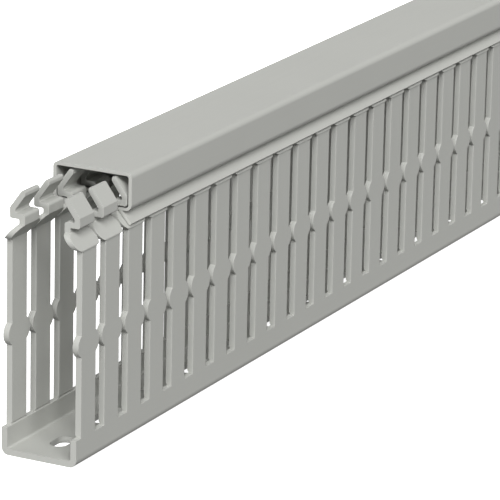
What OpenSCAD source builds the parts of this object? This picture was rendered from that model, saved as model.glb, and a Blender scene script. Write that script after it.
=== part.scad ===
// Slotted wire duct for control panels: an extruded channel whose walls are
// cut into fingers with snap heads, and the extruded cover that clips over them.
// Millimetres. X runs along the duct, Y across it, Z up. The origin is in the
// middle of the duct's underside. The cover is drawn back from the end at -X.

/* [Duct] */
// Length of the duct and of its cover
duct_length = 1000; // [100:50:1000]
// Width over the outer faces of the two walls
duct_width = 23; // [21:0.5:60]
// Overall height, over the fitted cover
duct_height = 75; // [70:1:120]
// Thickness of the walls and fingers
wall_t = 1.75; // [1.5:0.05:2]
// Thickness of the floor
floor_t = 1.8; // [1.5:0.1:2.2]
// Outer radius of the two bottom corners
corner_r = 2.2; // [1:0.1:2.6]
// Inner radius where the walls meet the floor
inner_r = 0.6; // [0.2:0.1:1]

/* [Fingers] */
// Spacing of the fingers along the duct
pitch = 12.5; // [12:0.5:15]
// Width of the slot between two fingers
slot_w = 5; // [4.8:0.1:5.6]
// Height of the unslotted strip at the foot of each wall
strip_h = 7.75; // [6:0.25:15]
// Depth of the break-off groove inside the foot of each finger
score_d = 0.4; // [0.2:0.1:0.6]
// Height of the break-off groove
score_h = 0.8; // [0.4:0.1:1.2]

/* [Wire-retaining noses] */
// Height of the noses' middle above the underside
nose_z = 33.3; // [22:0.5:46]
// Height of a nose from root to root
nose_h = 6; // [5:0.5:8]
// How far a nose reaches into the slot
nose_out = 1.75; // [1:0.05:2]

/* [Snap heads] */
// Height of the heads above the straight part of the fingers
head_h = 13.8; // [13.3:0.1:14.3]
// How far the neck steps in from the wall's inner face
neck_step = 3.75; // [3.6:0.05:3.9]
// Thickness of the slanted shoulder
shoulder_t = 1.45; // [1.35:0.05:1.6]
// Height of the slanted shoulder
shoulder_h = 4.8; // [4.6:0.1:5]
// Height of the shoulder's blunt lower edge
shoulder_edge_h = 0.4; // [0.3:0.1:0.6]
// How far the shoulder's lower edge stands out from the wall
shoulder_out = 0.15; // [0.1:0.05:0.4]
// Level of the round ears' lower ends above the shoulder's lower edge
ear_rise = 0.15; // [0.1:0.05:0.3]
// Height of the shoulder's round ears
ear_h = 4.3; // [4.3:0.1:4.6]
// How far the ears reach into the slot
ear_out = 2.1; // [1.5:0.05:2.15]
// Height of the snap groove above the shoulder
groove_h = 1.2; // [1:0.05:1.4]
// Depth of the snap groove behind the hook
groove_d = 2.9; // [2.7:0.1:3.1]
// Height of the hook's ledge
ledge_h = 1.5; // [1.3:0.1:1.8]
// Height of the hook's upright outer face
hook_h = 2.9; // [2.6:0.1:3.2]
// Thickness of the hook's upright and of its leg
leg_t = 1.6; // [1.4:0.05:1.8]
// Slope of the hook's leg, from level
leg_slope = 54; // [52:1:57]
// Radius of the hook's edges
hook_r = 0.6; // [0.3:0.1:0.7]
// Radius of the inner edge of the hook's ledge
ledge_r = 0.8; // [0.4:0.1:1]
// Radius of the fillets over and under the ledge
fillet_r = 0.4; // [0.1:0.1:0.5]

/* [Cover] */
// Thickness of the cover
cover_t = 1; // [0.9:0.05:1.2]
// Thickness of the grips and of the lips that lie on the shoulders
lip_t = 0.8; // [0.7:0.05:0.9]
// Outer radius of the cover's top corners
cover_r = 1.6; // [1.4:0.1:2.4]
// Outer radius of the folds under the cover's sides
fold_r = 2; // [1.5:0.1:2.2]
// Radius of the grips' inner edges
grip_r = 0.2; // [0.1:0.05:0.3]
// How far the cover is drawn back from the open end
setback = 27.5; // [0:2.5:50]

/* [Clearances] */
// Gap between the hooks and the cover's sides
side_gap = 0.45; // [0.35:0.05:0.6]
// Gap between the hooks' tips and the cover's top
top_gap = 0.7; // [0.5:0.1:1]
// Gap between the hooks and the grips under them
hook_gap = 0.45; // [0.3:0.05:0.5]
// Gap between the cover and the necks and shoulders
grip_gap = 0.25; // [0.15:0.05:0.3]

/* [Fixing slots in the floor] */
// Spacing of the fixing slots, short and long in turn
hole_pitch = 25; // [20:2.5:50]
// Distance from the duct's end to the middle of the first slot
hole_start = 12.5; // [10:0.5:25]
// Width of a short slot
short_w = 5; // [4:0.5:6]
// Length of a short slot
short_l = 8.5; // [7:0.5:12]
// Width of a long slot
long_w = 6; // [5:0.5:7]
// Length of a long slot
long_l = 14; // [10:0.5:16]

/* [Hidden] */

// Place on x of the end from which the cover is drawn back
end_x = -duct_length / 2;

// Faces of the walls, from the centre line
wall_out = duct_width / 2;
wall_in = wall_out - wall_t;

// Faces of a snap head, from the centre line
neck_in = wall_in - neck_step;
neck_out = neck_in + wall_t;
hook_out = neck_out + groove_d;
hook_in = hook_out - leg_t;
shoulder_edge = wall_out + shoulder_out;

// Levels of a snap head, from the underside
tip_z = duct_height - cover_t - top_gap;
head_z = tip_z - head_h;
edge_z = head_z + shoulder_edge_h;
shoulder_z = head_z + shoulder_h;
hook_z = shoulder_z + groove_h;
ledge_z = hook_z + ledge_h;
leg_z = hook_z + hook_h;

// Fall of the shoulder for each millimetre outwards, and its slope
shoulder_fall = (shoulder_z - edge_z) / (shoulder_edge - neck_out);
shoulder_slope = atan(shoulder_fall);

// Faces of the cover, from the centre line
cover_in = hook_out + side_gap;
cover_out = cover_in + cover_t;
grip_in = neck_out + grip_gap;

// Levels of the cover's folded grip and of the underside of its top
fold_top = hook_z - hook_gap;
fold_z = fold_top - lip_t;
top_in = duct_height - cover_t;

// Numbers of slots along the walls and along the floor
slot_count = floor(duct_length / pitch);
hole_count = floor((duct_length - 2 * hole_start) / hole_pitch) + 1;

// How far a cutter passes the face that it opens
over = 1;
$fn = 48;

// Level of the shoulder's face at y, raised by a gap measured square to it
function shoulder_at(y, gap = 0) =
    shoulder_z - (y - neck_out) * shoulder_fall + gap / cos(shoulder_slope);

// Place on y of the leg's outer face at level z
function leg_at(z) = hook_out - (z - leg_z) / tan(leg_slope);

// Level at which the leg's inner face passes y
function leg_inside_at(y) =
    leg_z + (hook_out - y - leg_t / sin(leg_slope)) * tan(leg_slope);

// Direction of a vector, one unit long
function unit(v) = v / norm(v);

// Point of a corner given as [y, z, radius]
function point(corner) = [corner.x, corner.y];

// What a circle of radius r leaves of the square corner at p, whose sides
// run along u and v
module spandrel(p, u, v, r) {
    difference() {
        polygon([p, p + r * u, p + r * (u + v), p + r * v]);
        translate(p + r * (u + v)) circle(r);
    }
}

// The spandrels of an outline's rounded corners that turn one way, 1 to the
// left or -1 to the right
module spandrels(corners, way) {
    last = len(corners) - 1;
    for (i = [0 : last]) {
        p = point(corners[i]);
        u = unit(point(corners[i == 0 ? last : i - 1]) - p);
        v = unit(point(corners[i == last ? 0 : i + 1]) - p);
        if (corners[i][2] > 0 && way * cross(v, u) > 0) spandrel(p, u, v, corners[i][2]);
    }
}

// Outline through [y, z, radius] corners, drawn anticlockwise, where only a
// square corner has a radius
module rounded(corners) {
    difference() {
        union() {
            polygon([for (corner = corners) point(corner)]);
            spandrels(corners, -1);
        }
        spandrels(corners, 1);
    }
}

// Extrudes half a section, drawn on Y and Z, and its mirror image along X
module both_halves() {
    for (side = [0, 1]) mirror([0, side, 0]) rotate([90, 0, 90])
        linear_extrude(duct_length, center = true) children();
}

// Half the duct's section: floor, wall, shoulder, snap groove, hook and neck
module duct_half() {
    rounded([
        [0, 0, 0],
        [wall_out, 0, corner_r],
        [wall_out, head_z, 0],
        [shoulder_edge, head_z, 0],
        [shoulder_edge, edge_z, 0],
        [neck_out, shoulder_z, 0],
        [neck_out, hook_z, fillet_r],
        [hook_out, hook_z, hook_r],
        [hook_out, leg_z, 0],
        [leg_at(tip_z), tip_z, 0],
        [neck_in, tip_z, hook_r],
        [neck_in, leg_inside_at(neck_in), 0],
        [hook_in, leg_inside_at(hook_in), 0],
        [hook_in, ledge_z, fillet_r],
        [neck_in, ledge_z, ledge_r],
        [neck_in, shoulder_at(neck_in, -shoulder_t), 0],
        [wall_in, shoulder_at(wall_in, -shoulder_t), 0],
        [wall_in, strip_h + score_h, 0],
        [wall_in + score_d, strip_h + score_h / 2, 0],
        [wall_in, strip_h, 0],
        [wall_in, floor_t, inner_r],
        [0, floor_t, 0]
    ]);
}

// One wall slot seen from the side, pinched by the noses and the ears
module slot_outline() {
    difference() {
        translate([-slot_w / 2, strip_h]) square([slot_w, duct_height - strip_h]);
        swellings(nose_z, nose_h, nose_out);
        swellings(head_z + ear_rise + ear_h / 2, ear_h, ear_out);
    }
}

// A round swelling on each edge of a slot
module swellings(z, h, out) {
    r = (h * h / 4 + out * out) / (2 * out);
    for (side = [-1, 1]) translate([side * (slot_w / 2 + r - out), z]) circle(r);
}

// One slot cut through both walls
module wall_slot() {
    rotate([90, 0, 0])
        linear_extrude(2 * (shoulder_edge + over), center = true) slot_outline();
}

// One round-ended fixing slot cut through the floor
module fixing_slot(width, length) {
    translate([0, 0, -over]) linear_extrude(floor_t + 2 * over) {
        square([length - width, width], center = true);
        for (side = [-1, 1]) translate([side * (length - width) / 2, 0]) circle(d = width);
    }
}

// The channel with its slotted walls, extruded and punched in one piece
module duct_body() {
    color("#a3a39c") difference() {
        both_halves() duct_half();
        for (i = [0 : slot_count]) translate([end_x + i * pitch, 0, 0]) wall_slot();
        for (i = [0 : hole_count - 1])
            translate([end_x + hole_start + i * hole_pitch, 0, 0])
                if (i % 2 == 0) fixing_slot(short_w, short_l);
                else fixing_slot(long_w, long_l);
    }
}

// Half the cover's section: top, side, fold, lip and the grip between them
module cover_half() {
    lip_gap = grip_gap + lip_t;
    lip_end = [cover_out, shoulder_at(cover_out, lip_gap)];
    lip_edge = lip_end - lip_t * [sin(shoulder_slope), cos(shoulder_slope)];
    fold_y = neck_out + (shoulder_z + lip_gap / cos(shoulder_slope) - fold_z) / shoulder_fall;
    rounded([
        [0, duct_height, 0],
        [0, top_in, 0],
        [cover_in, top_in, cover_r - cover_t],
        [cover_in, fold_top, fold_r - cover_t],
        [grip_in, fold_top, grip_r],
        [grip_in, shoulder_at(grip_in, grip_gap), 0],
        [lip_edge.x, lip_edge.y, 0],
        [lip_end.x, lip_end.y, 0],
        [fold_y, fold_z, 0],
        [cover_out, fold_z, fold_r],
        [cover_out, duct_height, cover_r]
    ]);
}

// The cover, clipped over the heads and drawn back along the duct
module cover() {
    color("#adada6") translate([setback, 0, 0]) both_halves() cover_half();
}

duct_body();
cover();
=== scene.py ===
import math

import bpy
import numpy as np
from mathutils import Matrix, Vector


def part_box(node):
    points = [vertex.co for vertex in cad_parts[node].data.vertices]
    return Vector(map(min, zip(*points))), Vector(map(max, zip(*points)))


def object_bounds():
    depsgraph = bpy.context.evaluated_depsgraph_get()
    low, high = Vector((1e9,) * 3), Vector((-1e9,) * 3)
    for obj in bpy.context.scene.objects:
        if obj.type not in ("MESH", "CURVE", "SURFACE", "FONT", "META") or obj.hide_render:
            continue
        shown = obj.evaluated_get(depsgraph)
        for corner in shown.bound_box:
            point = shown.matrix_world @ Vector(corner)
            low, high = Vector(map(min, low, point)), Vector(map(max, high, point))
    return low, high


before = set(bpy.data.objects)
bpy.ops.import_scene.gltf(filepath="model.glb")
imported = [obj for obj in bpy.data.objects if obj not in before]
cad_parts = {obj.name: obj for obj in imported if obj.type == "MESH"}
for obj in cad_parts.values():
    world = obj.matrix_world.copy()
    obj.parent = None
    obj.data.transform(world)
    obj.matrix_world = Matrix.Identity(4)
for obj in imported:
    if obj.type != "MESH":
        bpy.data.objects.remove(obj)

bl_info = {
    "name": "Slotted Wire Duct",
    "version": (1, 0, 0),
    "blender": (4, 5, 0),
    "location": "View3D > Sidebar > Wire Duct",
    "description": "Finishes a slotted wire duct in matt grey plastic and sets a studio round it",
    "category": "Object",
}

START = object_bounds()
MM = 0.001
SHOULDER_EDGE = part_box("duct_body")[1].y  # a little outside the walls

NOISE_MIDDLE = (0.25, 0.75)
EVEN = (1.0, 1.0, 1.0)
DRAWN_ALONG_X = (0.02, 1.0, 1.0)
CLOUD_DETAIL = 3.0
FINE_DETAIL = 2.0
RELIEF_DEPTH = 0.02 * MM
EDGE_SAMPLES = 6

LIGHTS = ("key", "front", "end", "back")
LAMP_DISTANCE = 2.0
FLOOR_ROUGHNESS = 0.9
WHITE = (1.0, 1.0, 1.0)
CAMERA_CLIP = (0.01, 100.0)


# Materials ------------------------------------------------------------------


def new_material(name):
    """An empty node material and its Principled shader, wired to the output."""
    material = bpy.data.materials.new(name)
    material.use_nodes = True
    tree = material.node_tree
    tree.nodes.clear()
    shader = tree.nodes.new("ShaderNodeBsdfPrincipled")
    output = tree.nodes.new("ShaderNodeOutputMaterial")
    tree.links.new(shader.outputs["BSDF"], output.inputs["Surface"])
    return material, tree, shader


def object_noise(tree, stretch, scale, detail):
    """Noise over the object's own coordinates, which are scaled per axis by stretch."""
    place = tree.nodes.new("ShaderNodeTexCoord")
    mapping = tree.nodes.new("ShaderNodeMapping")
    mapping.inputs["Scale"].default_value = stretch
    noise = tree.nodes.new("ShaderNodeTexNoise")
    noise.inputs["Scale"].default_value = scale
    noise.inputs["Detail"].default_value = detail
    tree.links.new(place.outputs["Object"], mapping.inputs["Vector"])
    tree.links.new(mapping.outputs["Vector"], noise.inputs["Vector"])
    return noise.outputs["Fac"]


def remap(tree, value, low, high):
    """The middle half of a noise value's range, spread from low to high."""
    node = tree.nodes.new("ShaderNodeMapRange")
    node.inputs["From Min"].default_value = NOISE_MIDDLE[0]
    node.inputs["From Max"].default_value = NOISE_MIDDLE[1]
    node.inputs["To Min"].default_value = low
    node.inputs["To Max"].default_value = high
    tree.links.new(value, node.inputs["Value"])
    return node.outputs["Result"]


def math_node(tree, operation, first, second=None):
    """One Math node; each input is a number or another node's output."""
    node = tree.nodes.new("ShaderNodeMath")
    node.operation = operation
    for socket, value in zip(node.inputs, (first, second)):
        if isinstance(value, bpy.types.NodeSocket):
            tree.links.new(value, socket)
        elif value is not None:
            socket.default_value = value
    return node.outputs["Value"]


def eased_normal(tree, finish):
    """The normal, turned over a small radius at the edges.

    The punch eases the edges near the outside of the walls and leaves the inner ones crisp.
    The heads and the cover are eased all round.
    """
    place = tree.nodes.new("ShaderNodeTexCoord")
    axes = tree.nodes.new("ShaderNodeSeparateXYZ")
    tree.links.new(place.outputs["Object"], axes.inputs["Vector"])
    reach = math_node(tree, "ABSOLUTE", axes.outputs["Y"])
    outer = math_node(tree, "GREATER_THAN", reach, SHOULDER_EDGE - finish.punch_depth)
    heads = math_node(tree, "GREATER_THAN", axes.outputs["Z"], finish.heads_from)
    eased = math_node(tree, "MAXIMUM", outer, heads)
    edge = tree.nodes.new("ShaderNodeBevel")
    edge.samples = EDGE_SAMPLES
    tree.links.new(math_node(tree, "MULTIPLY", eased, finish.edge_radius), edge.inputs["Radius"])
    return edge.outputs["Normal"]


def extruded_plastic(name, colour, finish):
    """Matt extruded plastic: drawn streaks along X, fine grain, faint clouds, eased edges."""
    material, tree, shader = new_material(name)
    shader.inputs["IOR"].default_value = finish.ior

    cloud = object_noise(tree, EVEN, finish.cloud_scale, CLOUD_DETAIL)
    tone = tree.nodes.new("ShaderNodeMix")
    tone.data_type = "RGBA"
    tone.inputs["A"].default_value = [c * (1.0 - finish.cloud) for c in colour] + [1.0]
    tone.inputs["B"].default_value = [min(c * (1.0 + finish.cloud), 1.0) for c in colour] + [1.0]
    tree.links.new(remap(tree, cloud, 0.0, 1.0), tone.inputs["Factor"])
    tree.links.new(tone.outputs["Result"], shader.inputs["Base Color"])

    streaks = object_noise(tree, DRAWN_ALONG_X, finish.streak_scale, FINE_DETAIL)
    low = finish.roughness - finish.roughness_spread
    high = finish.roughness + finish.roughness_spread
    tree.links.new(remap(tree, streaks, low, high), shader.inputs["Roughness"])

    grain = object_noise(tree, EVEN, finish.grain_scale, FINE_DETAIL)
    bump = tree.nodes.new("ShaderNodeBump")
    bump.inputs["Strength"].default_value = finish.bump
    bump.inputs["Distance"].default_value = RELIEF_DEPTH
    tree.links.new(math_node(tree, "ADD", streaks, grain), bump.inputs["Height"])
    tree.links.new(eased_normal(tree, finish), bump.inputs["Normal"])
    tree.links.new(bump.outputs["Normal"], shader.inputs["Normal"])
    return material


def lit_paper(name, colour, roughness, glow):
    """A plain matt surface, lit from within so that hardly a shadow shows on it."""
    material, _, shader = new_material(name)
    shader.inputs["Base Color"].default_value = [*colour, 1.0]
    shader.inputs["Roughness"].default_value = roughness
    shader.inputs["Emission Color"].default_value = [*colour, 1.0]
    shader.inputs["Emission Strength"].default_value = glow
    return material


def dress(node, material):
    """Gives every face of a CAD node one material."""
    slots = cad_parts[node].material_slots
    if not slots:
        raise RuntimeError(f"{node} has no material slot")
    for slot in slots:
        slot.material = material


# Properties -----------------------------------------------------------------


def strength(name, description, default):
    """A property for how strong a light is."""
    return bpy.props.FloatProperty(name=name, description=description, min=0.0, default=default)


def angle(name, description, degrees):
    """A property for an angle, given here in degrees."""
    return bpy.props.FloatProperty(
        name=name, description=description, subtype="ANGLE", default=math.radians(degrees))


class FinishProperties(bpy.types.PropertyGroup):
    """Colours and surface of the two extrusions."""

    body_colour: bpy.props.FloatVectorProperty(
        name="Duct", description="Colour of the duct's plastic",
        subtype="COLOR", size=3, min=0.0, max=1.0, default=(0.45, 0.455, 0.428))
    cover_colour: bpy.props.FloatVectorProperty(
        name="Cover", description="Colour of the cover's plastic",
        subtype="COLOR", size=3, min=0.0, max=1.0, default=(0.45, 0.455, 0.428))
    roughness: bpy.props.FloatProperty(
        name="Roughness", description="Mean roughness of the matt skin",
        subtype="FACTOR", min=0.0, max=1.0, default=0.65)
    roughness_spread: bpy.props.FloatProperty(
        name="Roughness Spread", description="How far the streaks change the roughness",
        subtype="FACTOR", min=0.0, max=0.3, default=0.04)
    ior: bpy.props.FloatProperty(
        name="IOR", description="Refractive index of rigid PVC", min=1.0, max=2.0, default=1.53)
    cloud: bpy.props.FloatProperty(
        name="Cloudiness", description="How far the colour drifts", min=0.0, max=0.2,
        subtype="FACTOR", default=0.012)
    cloud_scale: bpy.props.FloatProperty(
        name="Cloud Scale", description="Clouds along a metre", min=1.0, max=200.0, default=40.0)
    streak_scale: bpy.props.FloatProperty(
        name="Streak Scale", description="Drawn streaks across a metre",
        min=100.0, max=5000.0, default=1600.0)
    grain_scale: bpy.props.FloatProperty(
        name="Grain Scale", description="Grains along a metre",
        min=500.0, max=9000.0, default=3500.0)
    edge_radius: bpy.props.FloatProperty(
        name="Edge Radius", description="Radius over which the cut and punched edges are eased",
        unit="LENGTH", min=0.0, max=MM, default=0.15 * MM)
    punch_depth: bpy.props.FloatProperty(
        name="Punch Depth", description="How far in from the shoulders' edge the punch eases an edge",
        unit="LENGTH", min=0.0, max=2 * MM, default=0.95 * MM)
    heads_from: bpy.props.FloatProperty(
        name="Heads From", description="Height above which every edge is eased",
        unit="LENGTH", min=0.0, default=59 * MM)
    bump: bpy.props.FloatProperty(
        name="Relief", description="Strength of the streaks and grain",
        subtype="FACTOR", min=0.0, max=1.0, default=0.15)


class StudioProperties(bpy.types.PropertyGroup):
    """Floor, lamps and camera."""

    floor_colour: bpy.props.FloatVectorProperty(
        name="Floor", description="Colour of the plain floor",
        subtype="COLOR", size=3, min=0.0, max=1.0, default=(0.93, 0.93, 0.93))
    floor_half: bpy.props.FloatProperty(
        name="Floor Half Width", description="Distance from the duct to the floor's edge",
        unit="LENGTH", min=1.0, default=40.0)
    floor_glow: strength("Floor Glow", "Strength of the floor's own even light", 0.9)
    sky: strength("Sky", "Strength of the even light all round", 0.228)
    key: strength("Key Light", "Strength of the soft light from above the open end", 2.06)
    key_azimuth: angle("Key Azimuth", "Key light's bearing round the duct", -63)
    key_elevation: angle("Key Elevation", "Key light's angle above the horizon", 44)
    key_spread: angle("Key Spread", "Angle that the key light spreads over", 25)
    front: strength("Front Light", "Strength of the soft light on the long side", 1.56)
    front_azimuth: angle("Front Azimuth", "Front light's bearing round the duct", -35)
    front_elevation: angle("Front Elevation", "Front light's angle above the horizon", 35)
    front_spread: angle("Front Spread", "Angle that the front light spreads over", 30)
    end: strength("End Light", "Strength of the low light along the duct", 0.76)
    end_azimuth: angle("End Azimuth", "End light's bearing round the duct", -87)
    end_elevation: angle("End Elevation", "End light's angle above the horizon", 9)
    end_spread: angle("End Spread", "Angle that the end light spreads over", 10)
    back: strength("Back Light", "Strength of the low light from behind", 1.6)
    back_azimuth: angle("Back Azimuth", "Back light's bearing round the duct", 150)
    back_elevation: angle("Back Elevation", "Back light's angle above the horizon", 8)
    back_spread: angle("Back Spread", "Angle that the back light spreads over", 40)
    azimuth: angle("Azimuth", "Camera's bearing round the duct", -62.808)
    elevation: angle("Elevation", "Camera's angle above the horizon", 16.839)
    roll: angle("Roll", "Camera's turn about its own axis", 1.243)
    field: angle("Field of View", "Camera's horizontal angle of view", 7.3147)
    aim: bpy.props.FloatVectorProperty(
        name="Aim", description="Point on the near wall that the camera looks at",
        subtype="TRANSLATION", unit="LENGTH", size=3, default=(-0.4017, -0.0115, 0.0353))
    distance: bpy.props.FloatProperty(
        name="Distance", description="Camera's distance from its aim",
        subtype="DISTANCE", unit="LENGTH", default=1.1115)


# Pieces ---------------------------------------------------------------------


class DUCT_OT_finish_body(bpy.types.Operator):
    """Finish the slotted channel in matt grey extruded plastic"""

    bl_idname = "duct.finish_body"
    bl_label = "Finish Duct"

    def execute(self, context):
        finish = context.scene.duct_finish
        dress("duct_body", extruded_plastic("duct_plastic", finish.body_colour, finish))
        return {"FINISHED"}


class DUCT_OT_finish_cover(bpy.types.Operator):
    """Finish the clip-on cover in matt grey extruded plastic"""

    bl_idname = "duct.finish_cover"
    bl_label = "Finish Cover"

    def execute(self, context):
        finish = context.scene.duct_finish
        dress("cover", extruded_plastic("cover_plastic", finish.cover_colour, finish))
        return {"FINISHED"}


# Studio ---------------------------------------------------------------------


def view_axes(azimuth, elevation, roll):
    """Right, up and back of a view from a bearing and a height, turned about its axis."""
    back = Vector((math.sin(azimuth) * math.cos(elevation),
                   -math.cos(azimuth) * math.cos(elevation), math.sin(elevation)))
    right = Vector((math.cos(azimuth), math.sin(azimuth), 0.0))
    up = back.cross(right)
    turned = right * math.cos(roll) + up * math.sin(roll)
    return turned, back.cross(turned), back


def placed(data, name, azimuth, elevation, distance, aim, roll=0.0):
    """Adds a lamp or camera that looks at aim from a bearing, a height and a distance."""
    right, up, back = view_axes(azimuth, elevation, roll)
    made = bpy.data.objects.new(name, data)
    made.matrix_world = Matrix.Translation(aim + back * distance) @ Matrix(
        (right, up, back)).transposed().to_4x4()
    bpy.context.scene.collection.objects.link(made)
    return made


def floor_mesh(half, level):
    """A flat square about the origin: x and y run over a two by two grid, z is level."""
    x, y = np.meshgrid([-half, half], [-half, half])
    places = np.stack([x.ravel(), y.ravel(), np.full(4, level)], axis=1)
    mesh = bpy.data.meshes.new("floor")
    mesh.from_pydata(places.tolist(), [], [(0, 1, 3, 2)])
    return mesh


def soft_light(studio, name, aim):
    """The studio's light of that name: even, and softened by its spread."""
    data = bpy.data.lights.new(f"{name}_light", "SUN")
    data.energy = getattr(studio, name)
    data.angle = getattr(studio, f"{name}_spread")
    return placed(data, data.name, getattr(studio, f"{name}_azimuth"),
                  getattr(studio, f"{name}_elevation"), LAMP_DISTANCE, aim)


class DUCT_OT_set_studio(bpy.types.Operator):
    """Set a pale floor, soft lamps and the camera round the duct"""

    bl_idname = "duct.set_studio"
    bl_label = "Set Studio"

    def execute(self, context):
        studio = context.scene.duct_studio
        scene = context.scene
        aim = Vector(studio.aim)

        floor = bpy.data.objects.new("floor", floor_mesh(studio.floor_half, START[0].z))
        floor.data.materials.append(
            lit_paper("floor_paper", studio.floor_colour, FLOOR_ROUGHNESS, studio.floor_glow))
        floor.visible_diffuse = floor.visible_glossy = False
        scene.collection.objects.link(floor)

        lights = [soft_light(studio, name, aim) for name in LIGHTS]

        world = bpy.data.worlds.new("studio_sky")
        world.use_nodes = True
        sky = world.node_tree.nodes["Background"]
        sky.inputs["Color"].default_value = [*WHITE, 1.0]
        sky.inputs["Strength"].default_value = studio.sky
        scene.world = world
        scene.view_settings.view_transform = "Standard"

        lens = bpy.data.cameras.new("camera")
        lens.angle = studio.field
        lens.clip_start, lens.clip_end = CAMERA_CLIP
        camera = placed(lens, "camera", studio.azimuth, studio.elevation, studio.distance,
                        aim, studio.roll)
        scene.camera = camera
        return {"FINISHED"}


class DUCT_PT_sidebar(bpy.types.Panel):
    """Wire duct tools in the sidebar"""

    bl_idname = "DUCT_PT_sidebar"
    bl_label = "Wire Duct"
    bl_space_type = "VIEW_3D"
    bl_region_type = "UI"
    bl_category = "Wire Duct"

    def draw(self, context):
        for operator in OPERATORS:
            self.layout.operator(operator.bl_idname)
        for group in (context.scene.duct_finish, context.scene.duct_studio):
            column = self.layout.column()
            for name in group.__annotations__:
                column.prop(group, name)


OPERATORS = (DUCT_OT_finish_body, DUCT_OT_finish_cover, DUCT_OT_set_studio)
CLASSES = (FinishProperties, StudioProperties, *OPERATORS, DUCT_PT_sidebar)


def register():
    for made in CLASSES:
        bpy.utils.register_class(made)
    bpy.types.Scene.duct_finish = bpy.props.PointerProperty(type=FinishProperties)
    bpy.types.Scene.duct_studio = bpy.props.PointerProperty(type=StudioProperties)


def unregister():
    del bpy.types.Scene.duct_studio
    del bpy.types.Scene.duct_finish
    for made in reversed(CLASSES):
        bpy.utils.unregister_class(made)


def main():
    register()
    bpy.ops.duct.finish_body()
    bpy.ops.duct.finish_cover()
    bpy.ops.duct.set_studio()


if __name__ == "__main__":
    main()
